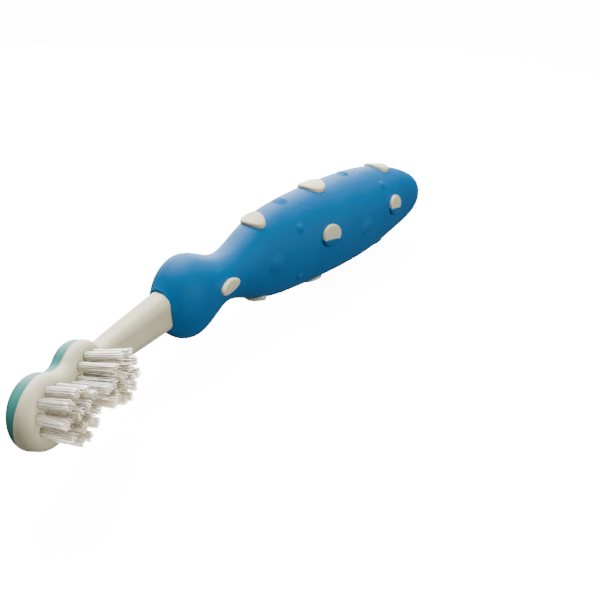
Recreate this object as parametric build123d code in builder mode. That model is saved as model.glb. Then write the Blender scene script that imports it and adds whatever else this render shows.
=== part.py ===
from build123d import *
import math
import os

# Small nylon toothbrush lying on its side. Lengths in millimetres.
# X runs along the handle from the head towards the handle's tip, the bristles point
# towards -Y, and Z is up across the width. While the pieces are made, the middle of
# the round bulb at the front of the grip is at (0, 0, 0). At the end they all move
# together, so that the finished brush rests on Z = 0 with the origin under its middle.

# ---- driving dimensions ----
HEAD_TILT = 25.0            # how far the head leans out of line with the handle, degrees
HEAD_ROLL = 9.0             # how far the head is turned round the handle's line, degrees
HEAD_START_X = -23.3        # handle end of the head's bristle face
HEAD_START_REACH = 6.5      # how far that end stands towards the bristle side
HEAD_START_RISE = 0.6
INNER_LOBE_RADIUS = 5.6     # the head is two round lobes side by side
OUTER_LOBE_RADIUS = 5.5
INNER_LOBE_AT = 5.8         # lobe centres, measured along the head from its handle end
OUTER_LOBE_AT = 15.5
WAIST_FILLET = 3.0          # hollow between the lobes
HEAD_THICKNESS = 3.9        # bristle face to the back of the soft pad
PLATE_THICKNESS = 2.8       # share of it that is ivory plate, along the head's middle line
PLATE_WEDGE = 14.0          # the plate thins towards the upper side by this angle, degrees
RIM_ROUND = 1.6             # rounding of the rim of the bristle face
PAD_ROUND = 1.1             # rounding of the pad's back edge
PAD_START = 3.2             # the pad stops short of the neck
BOSS_INSET = 1.0            # raised island of the plate that keys into the pad
BOSS_DEPTH = 3.2            # back of that island, below the bristle face

TUFT_DIAMETER = 1.5
HOLE_DIAMETER = 1.6
HOLE_DEPTH = 2.4
STAPLE_THICKNESS = 0.25     # flat anchor plate pressed across the bottom of each hole
STAPLE_HEIGHT = 1.2
STAPLE_WIDTH = 1.7

# Tufts stand in two rings in each lobe: ring radius, step round the ring in degrees,
# and the free length in the inner and the outer lobe. A pair stands in the waist.
TUFT_RINGS = [(3.3, 36, 6.4, 5.2), (1.35, 90, 6.8, 5.6)]
WAIST_PAIR_PITCH = 2.2
WAIST_PAIR_LENGTH = 6.8
TUFT_LEAN = 6.0             # all tufts lean a little towards the brush's lower side

# Neck sections: position, reach towards the bristle side, rise, turn round the handle's
# line, width, thickness, corner radius.
NECK_SECTIONS = [
    (-28.0, 6.6, 0.0, HEAD_ROLL, 4.4, 1.6, 0.6),
    (-21.5, 3.0, -0.8, 8.0, 5.5, 4.2, 1.4),
    (-14.0, 1.9, -0.4, 5.0, 6.9, 5.0, 2.0),
    (-6.0, 0.9, 0.2, 0.0, 8.0, 5.6, 2.4),
    (2.0, 0.3, 0.2, 0.0, 8.0, 5.6, 2.4),
]

# Tang sections inside the grip: position, reach, width, thickness.
TANG_SECTIONS = [
    (-2.0, 0.3, 7.6, 4.8),
    (9.5, -0.3, 6.8, 4.4),
    (24.0, -0.5, 13.0, 6.6),
    (44.0, 0.0, 17.2, 10.0),
    (64.0, 0.8, 16.8, 10.4),
    (86.0, 3.8, 8.4, 4.0),
]

# Grip sections, all oval: position, reach towards the bristle side, width, thickness.
GRIP_SECTIONS = [
    (-7.2, 0.8, 9.2, 6.8),      # front of the bulb, around the neck
    (-5.0, 0.5, 13.6, 9.8),
    (0.0, 0.0, 18.0, 12.4),     # bulb
    (9.5, -0.4, 11.6, 9.2),     # finger waist
    (20.0, -0.7, 18.0, 11.6),
    (34.0, -0.5, 24.0, 15.2),
    (52.0, 0.2, 25.4, 18.8),    # palm
    (68.0, 0.9, 24.8, 18.4),
    (80.0, 2.0, 21.2, 15.0),
    (88.0, 4.2, 16.2, 9.8),     # tip bends towards the bristle side
    (92.5, 6.2, 10.0, 5.0),
]
GRIP_TIP = (94.0, 7.0)          # position and reach of the very end of the handle

# Studs of the core that show through the grip, on its edges and its broad sides:
# position along the handle, angle round it from the +Z edge, half length along it and
# half width across it.
EDGE_STUDS = [(22.3, 0, 2.3, 3.2), (44.8, 0, 3.5, 3.5), (76.0, 0, 3.6, 3.6)]
SIDE_STUDS = [(8.3, 87, 3.3, 1.5), (42.0, 76, 3.2, 2.7), (73.5, 76, 3.2, 2.7)]
STUD_RISE = 0.8             # top of a stud above the grip's skin
STUD_ROOT = 5.5             # how deep a stud's foot lies below the skin
STUD_ROUND = 0.5

# Small grip nubs: position along the handle, angle round it from the +Z edge, radius
# and rise.
NUBS = [
    (32.0, 0, 1.4, 0.6),
    (58.5, 0, 1.4, 0.6),
    (32.0, 45, 0.8, 0.35),
    (69.0, 38, 0.8, 0.35),
    (23.5, 90, 2.0, 0.4),
    (57.5, 90, 2.0, 0.4),
]
NUB_ROOT = 1.0


def head_plane(depth):
    """Plane of the bristle face, moved back by depth: x runs out along the head."""
    tilt = math.radians(HEAD_TILT)
    roll = math.radians(HEAD_ROLL)
    side = Vector(0, -math.cos(roll), math.sin(roll))
    along = Vector(1, 0, 0)
    face = Plane(
        origin=(HEAD_START_X, -HEAD_START_REACH, HEAD_START_RISE),
        x_dir=side * math.sin(tilt) - along * math.cos(tilt),
        z_dir=side * math.cos(tilt) + along * math.sin(tilt),
    )
    return face.offset(-depth)


BRISTLE_AXIS = Axis((0, 0, 0), head_plane(0).z_dir)


def tuft_plane(along, across):
    """Plane at a tuft's mouth on the bristle face, its z along the leaning tuft."""
    face = head_plane(0)
    lean = math.radians(TUFT_LEAN)
    down = face.y_dir if face.y_dir.Z < 0 else -face.y_dir
    tuft_dir = face.z_dir * math.cos(lean) + down * math.sin(lean)
    mouth = face.from_local_coords(Vector(along, across, 0))
    return Plane(origin=mouth, x_dir=face.x_dir, z_dir=tuft_dir)


def cross_plane(x, reach, rise=0.0, turn=0.0):
    """Plane square to the handle, with its own x across the thickness and y up."""
    roll = math.radians(turn)
    thickness_dir = (0, math.cos(roll), -math.sin(roll))
    return Plane(origin=(x, -reach, rise), x_dir=thickness_dir, z_dir=(1, 0, 0))


def head_outline(inset=0.0):
    """Outline of the two-lobed head, or of an island set in from its edge."""
    with BuildSketch(Plane.XY) as outline:
        with Locations((INNER_LOBE_AT, 0)):
            Circle(INNER_LOBE_RADIUS)
        with Locations((OUTER_LOBE_AT, 0)):
            Circle(OUTER_LOBE_RADIUS)
        fillet(outline.vertices(), WAIST_FILLET)
        if inset:
            offset(amount=-inset)
    return outline.sketch


def domed_plug(radius, rise, root):
    """Round plug along Z, its rim at Z = 0, its domed top at rise, its foot at -root."""
    with BuildPart() as plug:
        with BuildSketch(Plane.XZ):
            with BuildLine():
                Polyline((0, rise), (0, -root), (radius, -root), (radius, 0))
                sphere_radius = (radius**2 + rise**2) / (2 * rise)
                RadiusArc((radius, 0), (0, rise), -sphere_radius)
            make_face()
        revolve(axis=Axis.Z)
    return plug.part


def tuft_places():
    """Place of every tuft on the bristle face, with its free length."""
    waist = (INNER_LOBE_AT + OUTER_LOBE_AT) / 2
    places = []
    for ring_radius, step, inner_length, outer_length in TUFT_RINGS:
        for index in range(360 // step):
            turn = math.radians((index + 0.5) * step - 180)
            along = ring_radius * math.cos(turn)
            across = ring_radius * math.sin(turn)
            places.append((INNER_LOBE_AT - along, across, inner_length))
            places.append((OUTER_LOBE_AT + along, across, outer_length))
    for side in (-1, 1):
        places.append((waist, side * WAIST_PAIR_PITCH / 2, WAIST_PAIR_LENGTH))
    return places


def oval_form(growth):
    """Smooth form through the grip's oval sections, each grown outwards."""
    with BuildPart() as form:
        for x, reach, width, thickness in GRIP_SECTIONS:
            with BuildSketch(cross_plane(x, reach)):
                Ellipse(thickness / 2 + growth, width / 2 + growth)
        loft([*form.pending_faces, Vertex(GRIP_TIP[0] + growth, -GRIP_TIP[1], 0)])
    return form.part


# ---- plain outer form of the grip, and the surface that the studs stand up to ----
grip_form = oval_form(0)
stud_top_form = oval_form(STUD_RISE)


def skin_plane(x, angle):
    """Plane on the grip's skin at x, turned by angle from the +Z edge to the bristles."""
    reaches = [(row[0], row[1]) for row in GRIP_SECTIONS]
    before = max(row for row in reaches if row[0] <= x)
    after = min(row for row in reaches if row[0] > x)
    share = (x - before[0]) / (after[0] - before[0])
    reach = before[1] + share * (after[1] - before[1])
    turn = math.radians(angle)
    ray = Axis((x, -reach, 0), (0, -math.sin(turn), math.cos(turn)))
    hits = grip_form.find_intersection_points(ray)
    point, normal = max(hits, key=lambda hit: (hit[0] - ray.position).dot(ray.direction))
    return Plane(origin=point, x_dir=(1, 0, 0), z_dir=normal)


studs = []
for x, angle, half_length, half_width in EDGE_STUDS + SIDE_STUDS:
    opposite = 360 - angle if angle else 180
    for turned in (angle, opposite):
        studs.append((skin_plane(x, turned), half_length, half_width))


def make_stud(plane, half_length, half_width):
    """Oval stud that stands up out of the tang and follows the grip's skin on top."""
    axis = Axis((0, 0, 0), plane.z_dir)
    with BuildPart() as stud:
        with BuildSketch(plane.offset(-STUD_ROOT)):
            Ellipse(half_length, half_width)
        extrude(amount=2 * STUD_ROOT)
        add(stud_top_form, mode=Mode.INTERSECT)
        fillet(stud.faces().sort_by(axis)[-1].edges(), STUD_ROUND)
    return stud.part


stud_solids = [make_stud(*stud) for stud in studs]

nubs = []
for x, angle, radius, rise in NUBS:
    for turned in sorted({angle, 180 - angle, 180 + angle, (360 - angle) % 360}):
        nubs.append((skin_plane(x, turned), radius, rise))

# ---- anchor staples, one across the foot of each tuft ----
with BuildPart() as staples:
    for along, across, length in tuft_places():
        with BuildSketch(tuft_plane(along, across).offset(-HOLE_DEPTH)):
            Rectangle(STAPLE_THICKNESS, STAPLE_WIDTH)
    extrude(amount=STAPLE_HEIGHT)

# ---- ivory core: head plate, neck, tang and studs in one moulding ----
plate_outline = head_outline()
boss_outline = head_outline(BOSS_INSET)
plate_back = head_plane(PLATE_THICKNESS).rotated((PLATE_WEDGE, 0, 0))

with BuildPart() as neck_form:
    for x, reach, rise, turn, width, thickness, corner in NECK_SECTIONS:
        with BuildSketch(cross_plane(x, reach, rise, turn)):
            RectangleRounded(thickness, width, corner)
    loft()

with BuildPart() as head_form:
    with BuildSketch(head_plane(HEAD_THICKNESS)):
        add(plate_outline)
    extrude(amount=HEAD_THICKNESS)
    face_edges = head_form.faces().sort_by(BRISTLE_AXIS)[-1].edges()
    fillet(face_edges, RIM_ROUND)
    back_edges = head_form.faces().sort_by(BRISTLE_AXIS)[0].edges()
    fillet(back_edges, PAD_ROUND)

with BuildPart() as start_form:
    with BuildSketch(head_plane(HEAD_THICKNESS)):
        with Locations((PAD_START / 2, 0)):
            Rectangle(PAD_START, 2 * INNER_LOBE_RADIUS)
    extrude(amount=HEAD_THICKNESS)
    add(head_form.part, mode=Mode.INTERSECT)

with BuildPart() as core_blank:
    add(head_form.part)
    split(bisect_by=plate_back, keep=Keep.TOP)
    add(start_form.part)
    with BuildSketch(head_plane(BOSS_DEPTH)):
        add(boss_outline)
    extrude(amount=BOSS_DEPTH - RIM_ROUND)
    add(neck_form.part)
    for x, reach, width, thickness in TANG_SECTIONS:
        with BuildSketch(cross_plane(x, reach)):
            Rectangle(thickness, width)
    loft(ruled=True)
    for stud in stud_solids:
        add(stud)

with BuildPart() as core:
    add(core_blank.part)
    for along, across, length in tuft_places():
        with BuildSketch(tuft_plane(along, across).offset(-HOLE_DEPTH)):
            Circle(HOLE_DIAMETER / 2)
    extrude(amount=HOLE_DEPTH + HOLE_DIAMETER, mode=Mode.SUBTRACT)
    add(staples.part, mode=Mode.SUBTRACT)

# ---- soft blue grip over the tang ----
nub_plugs = [(plane, domed_plug(radius, rise, NUB_ROOT)) for plane, radius, rise in nubs]

with BuildPart() as grip:
    add(grip_form)
    for plane, plug in nub_plugs:
        with Locations(plane):
            add(plug)
    add(core_blank.part, mode=Mode.SUBTRACT)

# ---- soft teal pad on the back of the head ----
with BuildPart() as head_pad:
    add(head_form.part)
    split(bisect_by=plate_back, keep=Keep.BOTTOM)
    with BuildSketch(head_plane(HEAD_THICKNESS)):
        with Locations((PAD_START / 2, 0)):
            Rectangle(PAD_START, 2 * INNER_LOBE_RADIUS)
    extrude(amount=HEAD_THICKNESS, mode=Mode.SUBTRACT)
    with BuildSketch(head_plane(BOSS_DEPTH)):
        add(boss_outline)
    extrude(amount=BOSS_DEPTH - RIM_ROUND, mode=Mode.SUBTRACT)
    add(neck_form.part, mode=Mode.SUBTRACT)


def make_tuft(along, across, length):
    """Bundle of filaments, folded over its staple at the bottom of the hole."""
    with BuildPart() as tuft:
        with BuildSketch(tuft_plane(along, across).offset(-HOLE_DEPTH)):
            Circle(TUFT_DIAMETER / 2)
        extrude(amount=HOLE_DEPTH + length)
        add(staples.part, mode=Mode.SUBTRACT)
    return tuft.part


pieces = {"core": core.part, "grip": grip.part, "head_pad": head_pad.part, "tuft_anchors": staples.part}
for number, (along, across, length) in enumerate(tuft_places(), start=1):
    pieces[f"tuft_{number:02d}"] = make_tuft(along, across, length)

# ---- rest the brush on Z = 0 with the origin under its middle, and write it ----
boxes = [piece.bounding_box() for piece in pieces.values()]
lowest = Vector(*(min(tuple(box.min)[axis] for box in boxes) for axis in range(3)))
highest = Vector(*(max(tuple(box.max)[axis] for box in boxes) for axis in range(3)))
middle = (lowest + highest) / 2
to_origin = Location((-middle.X, -middle.Y, -lowest.Z))
os.makedirs("parts", exist_ok=True)
for name, piece in pieces.items():
    placed = piece.moved(to_origin)
    placed.label = name
    export_step(placed, f"parts/{name}.step")
print("moved by", to_origin.position, "size", highest - lowest)
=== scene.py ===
import math
import random

import bpy
import numpy as np
from mathutils import Matrix, Vector
from mathutils.bvhtree import BVHTree


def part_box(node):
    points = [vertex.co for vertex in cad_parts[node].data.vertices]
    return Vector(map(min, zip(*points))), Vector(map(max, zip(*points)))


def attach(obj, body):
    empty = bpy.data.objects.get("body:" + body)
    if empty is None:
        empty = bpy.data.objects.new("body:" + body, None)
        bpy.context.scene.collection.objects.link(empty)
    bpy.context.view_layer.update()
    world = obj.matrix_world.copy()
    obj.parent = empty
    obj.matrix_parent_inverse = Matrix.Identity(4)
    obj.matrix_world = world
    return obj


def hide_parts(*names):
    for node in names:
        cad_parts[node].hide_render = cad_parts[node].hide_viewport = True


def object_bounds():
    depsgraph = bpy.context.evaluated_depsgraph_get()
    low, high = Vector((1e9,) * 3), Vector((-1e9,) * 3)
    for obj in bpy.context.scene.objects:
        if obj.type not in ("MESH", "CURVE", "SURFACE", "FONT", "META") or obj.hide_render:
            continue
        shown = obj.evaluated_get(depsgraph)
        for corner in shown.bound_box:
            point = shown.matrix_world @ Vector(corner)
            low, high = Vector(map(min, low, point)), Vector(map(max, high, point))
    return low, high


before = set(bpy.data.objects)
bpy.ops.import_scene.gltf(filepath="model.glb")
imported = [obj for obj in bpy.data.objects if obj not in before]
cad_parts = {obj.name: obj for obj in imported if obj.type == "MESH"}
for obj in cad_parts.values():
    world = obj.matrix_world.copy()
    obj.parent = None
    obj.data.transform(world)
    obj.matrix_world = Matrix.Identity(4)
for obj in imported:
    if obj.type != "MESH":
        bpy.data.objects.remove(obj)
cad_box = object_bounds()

MM = 0.001
random.seed(7)

# ---- places read from the frame ----
GRIP_LOW, GRIP_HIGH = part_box("grip")
CORE_LOW, CORE_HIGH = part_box("core")
BULB_BACK = 7.2 * MM            # front of the grip to the middle of its bulb
BULB_INSET = 9.537 * MM         # back of the grip to the middle of its bulb
BULB = Vector((GRIP_LOW.x + BULB_BACK, GRIP_HIGH.y - BULB_INSET, (GRIP_LOW.z + GRIP_HIGH.z) / 2))


# ---- small mesh helpers ----
def mesh_object(name, verts, faces, material, smooth=True):
    """New object from plain lists, in the row frame."""
    mesh = bpy.data.meshes.new(name)
    mesh.from_pydata([tuple(v) for v in verts], [], [tuple(f) for f in faces])
    mesh.validate()
    mesh.polygons.foreach_set("use_smooth", [smooth] * len(mesh.polygons))
    mesh.materials.append(material)
    obj = bpy.data.objects.new(name, mesh)
    bpy.context.scene.collection.objects.link(obj)
    return obj


def axis_frame(direction):
    """Two unit vectors square to direction and to each other."""
    helper = Vector((0, 0, 1)) if abs(direction.z) < 0.9 else Vector((1, 0, 0))
    side = direction.cross(helper).normalized()
    return side, side.cross(direction).normalized()


# ---- materials ----
def new_material(name):
    """Empty node material with its shader and the object's own coordinates."""
    material = bpy.data.materials.new(name)
    material.use_nodes = True
    nodes = material.node_tree.nodes
    shader = nodes["Principled BSDF"]
    coords = nodes.new("ShaderNodeTexCoord")
    return material, shader, coords


def noise(material, coords, scale, detail=3.0, roughness=0.5):
    """Noise texture on the object's coordinates."""
    node = material.node_tree.nodes.new("ShaderNodeTexNoise")
    node.inputs["Scale"].default_value = scale
    node.inputs["Detail"].default_value = detail
    node.inputs["Roughness"].default_value = roughness
    material.node_tree.links.new(coords.outputs["Object"], node.inputs["Vector"])
    return node


def ramp(material, source, stops):
    """Colour ramp over a value, from (position, colour) stops."""
    node = material.node_tree.nodes.new("ShaderNodeValToRGB")
    material.node_tree.links.new(source, node.inputs["Fac"])
    elements = node.color_ramp.elements
    while len(elements) < len(stops):
        elements.new(0.5)
    for element, (position, colour) in zip(elements, stops):
        element.position = position
        element.color = (*colour, 1.0)
    return node


def value_range(material, source, low, high):
    """Maps a 0 to 1 value onto low to high."""
    node = material.node_tree.nodes.new("ShaderNodeMapRange")
    node.inputs["To Min"].default_value = low
    node.inputs["To Max"].default_value = high
    material.node_tree.links.new(source, node.inputs["Value"])
    return node


def bump(material, shader, source, strength, distance):
    """Fine surface grain in the shader's normal."""
    node = material.node_tree.nodes.new("ShaderNodeBump")
    node.inputs["Strength"].default_value = strength
    node.inputs["Distance"].default_value = distance
    material.node_tree.links.new(source, node.inputs["Height"])
    material.node_tree.links.new(node.outputs["Normal"], shader.inputs["Normal"])
    return node


def surface(name, dark, light, rough_low, rough_high, grain, grain_depth):
    """Moulded surface: slow colour drift, uneven gloss and a fine grain."""
    material, shader, coords = new_material(name)
    links = material.node_tree.links
    drift = noise(material, coords, 90.0)
    colours = ramp(material, drift.outputs["Fac"], [(0.35, dark), (0.65, light)])
    links.new(colours.outputs["Color"], shader.inputs["Base Color"])
    patches = noise(material, coords, 260.0, 4.0)
    gloss = value_range(material, patches.outputs["Fac"], rough_low, rough_high)
    links.new(gloss.outputs["Result"], shader.inputs["Roughness"])
    fine = noise(material, coords, grain, 2.0)
    bump(material, shader, fine.outputs["Fac"], 0.25, grain_depth)
    return material, shader


def ivory_plastic():
    material, shader = surface(
        "ivory_plastic", (0.60, 0.555, 0.35), (0.67, 0.62, 0.42), 0.28, 0.40, 1800.0, 0.00002)
    shader.inputs["Subsurface Weight"].default_value = 0.15
    shader.inputs["Subsurface Radius"].default_value = (0.004, 0.003, 0.002)
    shader.inputs["Subsurface Scale"].default_value = 0.3
    shader.inputs["Specular IOR Level"].default_value = 0.45
    return material


def blue_rubber():
    material, shader = surface(
        "blue_rubber", (0.0, 0.100, 0.280), (0.0, 0.115, 0.320), 0.48, 0.60, 1500.0, 0.00003)
    shader.inputs["Specular IOR Level"].default_value = 0.35
    shader.inputs["Specular Tint"].default_value = (0.35, 0.75, 1.0, 1.0)
    return material


def teal_rubber():
    material, shader = surface(
        "teal_rubber", (0.024, 0.190, 0.165), (0.034, 0.220, 0.195), 0.35, 0.5, 1500.0, 0.00003)
    shader.inputs["Specular IOR Level"].default_value = 0.5
    return material


def anchor_brass():
    material, shader = surface(
        "anchor_brass", (0.55, 0.42, 0.18), (0.62, 0.48, 0.22), 0.25, 0.40, 3000.0, 0.00001)
    shader.inputs["Metallic"].default_value = 1.0
    return material


def clear_nylon():
    """Clear filament, a little milky, with fine lengthwise unevenness."""
    material, shader = surface(
        "clear_nylon", (0.68, 0.62, 0.48), (0.80, 0.75, 0.61), 0.15, 0.30, 2500.0, 0.00001)
    shader.inputs["Transmission Weight"].default_value = 0.7
    shader.inputs["IOR"].default_value = 1.5
    return material


def floor_material():
    """Pale paper, bright to the camera."""
    material, shader = surface(
        "pale_floor", (0.90, 0.90, 0.90), (0.93, 0.93, 0.93), 0.55, 0.65, 40.0, 0.00002)
    shader.inputs["Emission Color"].default_value = (1, 1, 1, 1)
    shader.inputs["Emission Strength"].default_value = 14.0
    return material


IVORY = ivory_plastic()
BLUE = blue_rubber()
TEAL = teal_rubber()
BRASS = anchor_brass()
NYLON = clear_nylon()


# ---- CAD nodes that keep their own shape ----
def paint(node, material):
    """Gives a CAD node's object a better material."""
    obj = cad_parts[node]
    obj.data.materials.clear()
    obj.data.materials.append(material)


paint("core", IVORY)
paint("grip", BLUE)
paint("head_pad", TEAL)
paint("tuft_anchors", BRASS)


# ---- soft mounds of the grip's rubber ----
# Each row: place along the handle from the bulb, angle round it from the upper edge, half
# length and half width of the mound, its height, how far out the plain skin starts, and how
# round its top is.
NUB_MOUNDS = [
    (32.0, 0, 2.2, 2.2, 0.68, 1.5, 1.6),
    (58.5, 0, 2.2, 2.2, 0.68, 1.5, 1.6),
    (32.0, 45, 1.6, 1.6, 0.40, 0.9, 2.0),
    (69.0, 38, 1.6, 1.6, 0.40, 0.9, 2.0),
    (23.5, 90, 3.2, 3.2, 0.48, 2.1, 1.6),
    (57.5, 90, 3.2, 3.2, 0.48, 2.1, 1.6),
]
STUD_LAPS = [
    (42.0, 76, 3.6, 3.1, 1.02, 3.5, 0.2),
    (73.5, 76, 3.6, 3.1, 1.02, 3.5, 0.2),
]
LAP_EDGE = 0.5 * MM             # a lap starts this far below the middle of its stud
LAP_SLOPE = 0.15                # and further down towards the handle's tip
LAP_RAMP = 0.7 * MM             # and rises to its full height over this distance
MOUND_SINK = 0.03 * MM          # the mound's rim lies this far under the skin
MOUND_FLOOR = 0.5 * MM          # its hidden underside lies this far below that
MOUND_RINGS = 20                # rings of points from a mound's middle to its rim
MOUND_SPOKES = 64


def outer_tree():
    """Search tree of the outside of the grip and the core."""
    verts = []
    faces = []
    for node in ("grip", "core"):
        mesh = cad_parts[node].data
        start = len(verts)
        verts += [v.co.copy() for v in mesh.vertices]
        faces += [[start + index for index in face.vertices] for face in mesh.polygons]
    return BVHTree.FromPolygons(verts, faces)


OUTSIDE = outer_tree()
FAR = 40 * MM                   # a start point well outside the brush
NEAR = 10 * MM                  # a start point just outside the skin
PATCH_CIRCLES = 4               # circles of sample points round a mound
PATCH_SPOKES = 24
PATCH_REACH = 1.25              # the widest circle is at least this times the first


def hit_from(outside_point, direction):
    """Where a line from outside meets the brush."""
    return OUTSIDE.ray_cast(outside_point, direction)[0]


def skin_place(x, angle):
    """Point of the outside at x, at an angle round the handle, with the way out there."""
    turned = math.radians(angle)
    out = Vector((0, -math.sin(turned), math.cos(turned)))
    front = hit_from(Vector((BULB.x + x, BULB.y - FAR, BULB.z)), Vector((0, 1, 0)))
    back = hit_from(Vector((BULB.x + x, BULB.y + FAR, BULB.z)), Vector((0, -1, 0)))
    middle_point = (front + back) / 2
    return hit_from(middle_point + out * FAR, -out), out


def skin_patch(place, normal, clear, reach):
    """Local axes at a place and the plain skin round it as a second-order surface."""
    along = (Vector((1, 0, 0)) - normal * normal.x).normalized()
    across = normal.cross(along)
    if across.z > 0:
        across = -across
    rows = []
    heights = []
    for size in np.linspace(clear, max(reach, clear * PATCH_REACH), PATCH_CIRCLES):
        for spoke in range(PATCH_SPOKES):
            turned = 2 * math.pi * spoke / PATCH_SPOKES
            u = size * math.cos(turned)
            v = size * math.sin(turned)
            point = hit_from(place + along * u + across * v + normal * NEAR, -normal)
            if point is None:
                continue
            rows.append((1, u, v, u * u, u * v, v * v))
            heights.append((point - place).dot(normal))
    fitted = np.linalg.lstsq(np.array(rows), np.array(heights), rcond=None)[0]
    return along, across, fitted


def lap_share(u, v):
    """How far a lap has risen over its stud: 0 above its edge, 1 below it."""
    share = (v - LAP_EDGE - LAP_SLOPE * u) / LAP_RAMP
    share = min(max(share, 0.0), 1.0)
    return share * share * (3 - 2 * share)


def add_mound(verts, faces, x, angle, half_length, half_width, height, clear, crown, lap):
    """Closed low mound whose rim runs out smoothly into the skin."""
    place, normal = skin_place(x, angle)
    for _ in range(2):
        along, across, fitted = skin_patch(place, normal, clear, half_length)
        normal = (normal - along * fitted[1] - across * fitted[2]).normalized()
    along, across, fitted = skin_patch(place, normal, clear, half_length)
    start = len(verts)

    def surface_point(u, v, rise):
        terms = (1, u, v, u * u, u * v, v * v)
        skin = sum(a * b for a, b in zip(fitted, terms))
        return place + along * u + across * v + normal * (skin + rise)

    middle_rise = height * (lap_share(0, 0) if lap else 1.0)
    verts.append(surface_point(0, 0, middle_rise - MOUND_SINK))
    for ring in range(1, MOUND_RINGS + 1):
        share = ring / MOUND_RINGS
        full_rise = height * (1 - share * share) ** crown
        for spoke in range(MOUND_SPOKES):
            turned = 2 * math.pi * spoke / MOUND_SPOKES
            u = half_length * share * math.cos(turned)
            v = half_width * share * math.sin(turned)
            rise = full_rise * (lap_share(u, v) if lap else 1.0)
            verts.append(surface_point(u, v, rise - MOUND_SINK))
    verts.append(surface_point(0, 0, -MOUND_FLOOR))
    under = len(verts) - 1
    for spoke in range(MOUND_SPOKES):
        after = (spoke + 1) % MOUND_SPOKES
        faces.append((start, start + 1 + spoke, start + 1 + after))
        for ring in range(MOUND_RINGS - 1):
            inner = start + 1 + ring * MOUND_SPOKES
            outer = inner + MOUND_SPOKES
            faces.append((inner + spoke, outer + spoke, outer + after, inner + after))
        rim = start + 1 + (MOUND_RINGS - 1) * MOUND_SPOKES
        faces.append((rim + spoke, under, rim + after))


def make_mounds(name, rows, mirrored, lap=False):
    """One object with all mounds of a kind, on both sides of the handle."""
    verts = []
    faces = []
    for x, angle, half_length, half_width, height, clear, crown in rows:
        for turned in sorted({angle % 360, *mirrored(angle)}):
            add_mound(
                verts, faces, x * MM, turned, half_length * MM, half_width * MM,
                height * MM, clear * MM, crown, lap)
    piece = mesh_object(name, verts, faces, BLUE)
    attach(piece, "root")
    return piece


make_mounds("grip_nubs", NUB_MOUNDS, lambda angle: (180 - angle, 180 + angle, (360 - angle) % 360))
make_mounds("grip_stud_laps", STUD_LAPS, lambda angle: (360 - angle,), lap=True)


# ---- tufts: bundles of separate filaments ----
HOLE_DEPTH = 2.4 * MM
TUFT_RADIUS = 0.74 * MM
TUFT_SPLAY = 9.0                # outward lean of a tuft, per metre from the middle of the head
FILAMENT_RADIUS = 0.14 * MM
FILAMENT_SIDES = 8
BUNDLE_RINGS = 2                # rings of filaments round the middle one
ROOT_SHARE = 0.4                # filaments start this share of a hole's depth above its foot
TUFT_SWAY = 0.03                # a tuft's own random lean, as a share of its length
SPREAD_LOW, SPREAD_HIGH = -0.05, 0.15   # how far a filament closes in or opens out
FILAMENT_SWAY = 0.10 * MM
REACH_LOW, REACH_HIGH = 0.88, 0.94      # filament length as a share of its tuft's
BEND_STEPS = 6
BEND_POWER = 1.6                # filaments bend more towards their tips
TIP_ROUNDS = [(0.6, 0.75), (1.0, 0.3)]  # past the end and radius there, in filament radii


def tuft_axis(node):
    """Foot, tip and direction of a tuft, from its CAD cylinder."""
    points = np.array([v.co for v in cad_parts[node].data.vertices])
    middle = points.mean(0)
    direction = np.linalg.svd(points - middle)[2][0]
    if direction[1] > 0:
        direction = -direction
    along = (points - middle) @ direction
    foot = Vector(middle + direction * along.min())
    tip = Vector(middle + direction * along.max())
    return foot, tip, Vector(direction)


def bundle_places():
    """Places of the filaments across a bundle, as shares of its radius."""
    places = [(0.0, 0.0)]
    for ring in range(1, BUNDLE_RINGS + 1):
        count = 6 * ring
        for index in range(count):
            turn = 2 * math.pi * (index + 0.5 * (ring % 2)) / count
            reach = ring / BUNDLE_RINGS
            places.append((reach * math.cos(turn), reach * math.sin(turn)))
    return places


def add_filament(verts, faces, line, radius):
    """Round rod along a line of points, with a rounded free end."""
    start = len(verts)
    steps = [(point, radius) for point in line]
    end_dir = (line[-1] - line[-2]).normalized()
    for past, share in TIP_ROUNDS:
        steps.append((line[-1] + end_dir * radius * past, radius * share))
    for index, (point, size) in enumerate(steps):
        before = steps[max(index - 1, 0)][0]
        after = steps[min(index + 1, len(steps) - 1)][0]
        side, up = axis_frame((after - before).normalized())
        for corner in range(FILAMENT_SIDES):
            turn = 2 * math.pi * corner / FILAMENT_SIDES
            verts.append(point + (side * math.cos(turn) + up * math.sin(turn)) * size)
    for index in range(len(steps) - 1):
        for corner in range(FILAMENT_SIDES):
            a = start + index * FILAMENT_SIDES + corner
            b = start + index * FILAMENT_SIDES + (corner + 1) % FILAMENT_SIDES
            faces.append((a, b, b + FILAMENT_SIDES, a + FILAMENT_SIDES))
    faces.append([start + corner for corner in reversed(range(FILAMENT_SIDES))])
    last = start + (len(steps) - 1) * FILAMENT_SIDES
    faces.append([last + corner for corner in range(FILAMENT_SIDES)])


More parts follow.
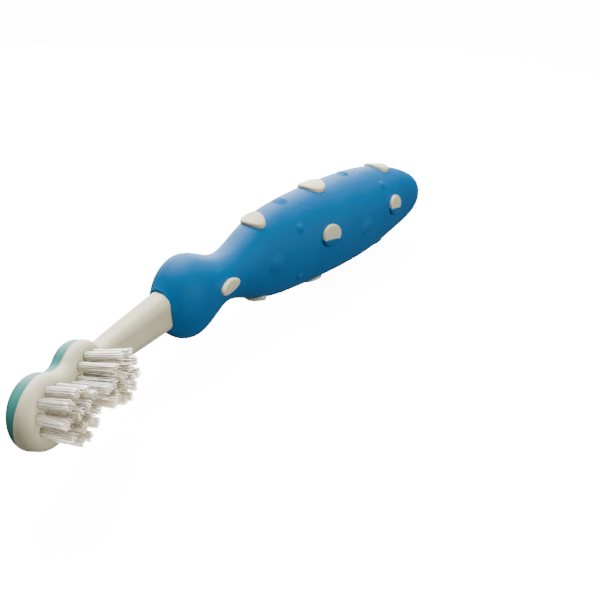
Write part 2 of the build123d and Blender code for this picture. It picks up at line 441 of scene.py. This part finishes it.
def make_tuft(node, head_middle):
    """Filaments that leave one hole, splay a little and end unevenly."""
    foot, tip, direction = tuft_axis(node)
    side, up = axis_frame(direction)
    start = foot + direction * HOLE_DEPTH * ROOT_SHARE
    length = (tip - start).length
    outward = foot - head_middle
    outward -= direction * outward.dot(direction)
    lean = outward * TUFT_SPLAY * length
    lean += (side * random.uniform(-1, 1) + up * random.uniform(-1, 1)) * length * TUFT_SWAY
    verts = []
    faces = []
    for across, above in bundle_places():
        place = (side * across + up * above) * (TUFT_RADIUS - FILAMENT_RADIUS)
        jitter = side * random.uniform(-1, 1) + up * random.uniform(-1, 1)
        splay = place * random.uniform(SPREAD_LOW, SPREAD_HIGH) + jitter * FILAMENT_SWAY
        reach = length * random.uniform(REACH_LOW, REACH_HIGH)
        line = []
        for step in range(BEND_STEPS + 1):
            share = step / BEND_STEPS
            bend = share ** BEND_POWER
            line.append(start + direction * reach * share + place + (splay + lean) * bend)
        add_filament(verts, faces, line, FILAMENT_RADIUS)
    piece = mesh_object(node + "_filaments", verts, faces, NYLON)
    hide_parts(node)
    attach(piece, "root")
    return piece


tuft_nodes = [
    node for node in sorted(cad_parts)
    if node.startswith("tuft_") and node != "tuft_anchors"
]
tuft_feet = [tuft_axis(node)[0] for node in tuft_nodes]
head_middle = sum(tuft_feet, Vector()) / len(tuft_feet)
for node in tuft_nodes:
    make_tuft(node, head_middle)


# ---- floor, light and camera ----
def area_light(name, place, aim, size, power):
    """Soft square light at place, facing aim."""
    data = bpy.data.lights.new(name, "AREA")
    data.shape = "SQUARE"
    data.size = size
    data.energy = power
    obj = bpy.data.objects.new(name, data)
    obj.location = place
    obj.rotation_euler = (Vector(aim) - Vector(place)).to_track_quat("-Z", "Y").to_euler()
    bpy.context.scene.collection.objects.link(obj)
    return obj


FLOOR_HALF = 3.0
WALL_HEIGHT = 0.6               # the far edges of the floor turn up, to hide the horizon
floor_z = cad_box[0][2]
corners = [(-FLOOR_HALF, -FLOOR_HALF), (FLOOR_HALF, -FLOOR_HALF),
           (FLOOR_HALF, FLOOR_HALF), (-FLOOR_HALF, FLOOR_HALF)]
floor_verts = [(x, y, z) for z in (floor_z, floor_z + WALL_HEIGHT) for x, y in corners]
floor_walls = [(side, (side + 1) % 4, (side + 1) % 4 + 4, side + 4) for side in range(4)]
floor = mesh_object(
    "floor", floor_verts, [(0, 1, 2, 3), *floor_walls], floor_material(), smooth=False)
floor.visible_diffuse = False
floor.visible_glossy = False

middle = (Vector(cad_box[0]) + Vector(cad_box[1])) / 2
area_light("key_above", middle + Vector((0.10, 0.12, 0.48)), middle, 0.45, 7.4)
area_light("back_wall", middle + Vector((0.55, 0.60, 0.38)), middle, 1.0, 22.0)
area_light("fill_front", middle + Vector((0.12, -0.60, 0.05)), middle, 0.6, 4.5)

world = bpy.data.worlds.new("studio")
world.use_nodes = True
world.node_tree.nodes["Background"].inputs["Color"].default_value = (1, 1, 1, 1)
world.node_tree.nodes["Background"].inputs["Strength"].default_value = 0.22
bpy.context.scene.world = world

CAMERA_FROM_BULB = Vector((-67.3, -74.9, 51.8)) * MM
CAMERA_BACK = Vector((-0.725, -0.503, 0.470)).normalized()
CAMERA_UP = Vector((0.376, 0.282, 0.883))
CAMERA_LENS = 33.0

camera_data = bpy.data.cameras.new("camera")
camera_data.lens = CAMERA_LENS
camera_data.sensor_width = 36.0
camera_data.clip_start = 0.005
camera = bpy.data.objects.new("camera", camera_data)
right = CAMERA_UP.cross(CAMERA_BACK).normalized()
up = CAMERA_BACK.cross(right)
turn = Matrix((right, up, CAMERA_BACK)).transposed().to_4x4()
camera.matrix_world = Matrix.Translation(BULB + CAMERA_FROM_BULB) @ turn
bpy.context.scene.collection.objects.link(camera)
bpy.context.scene.camera = camera
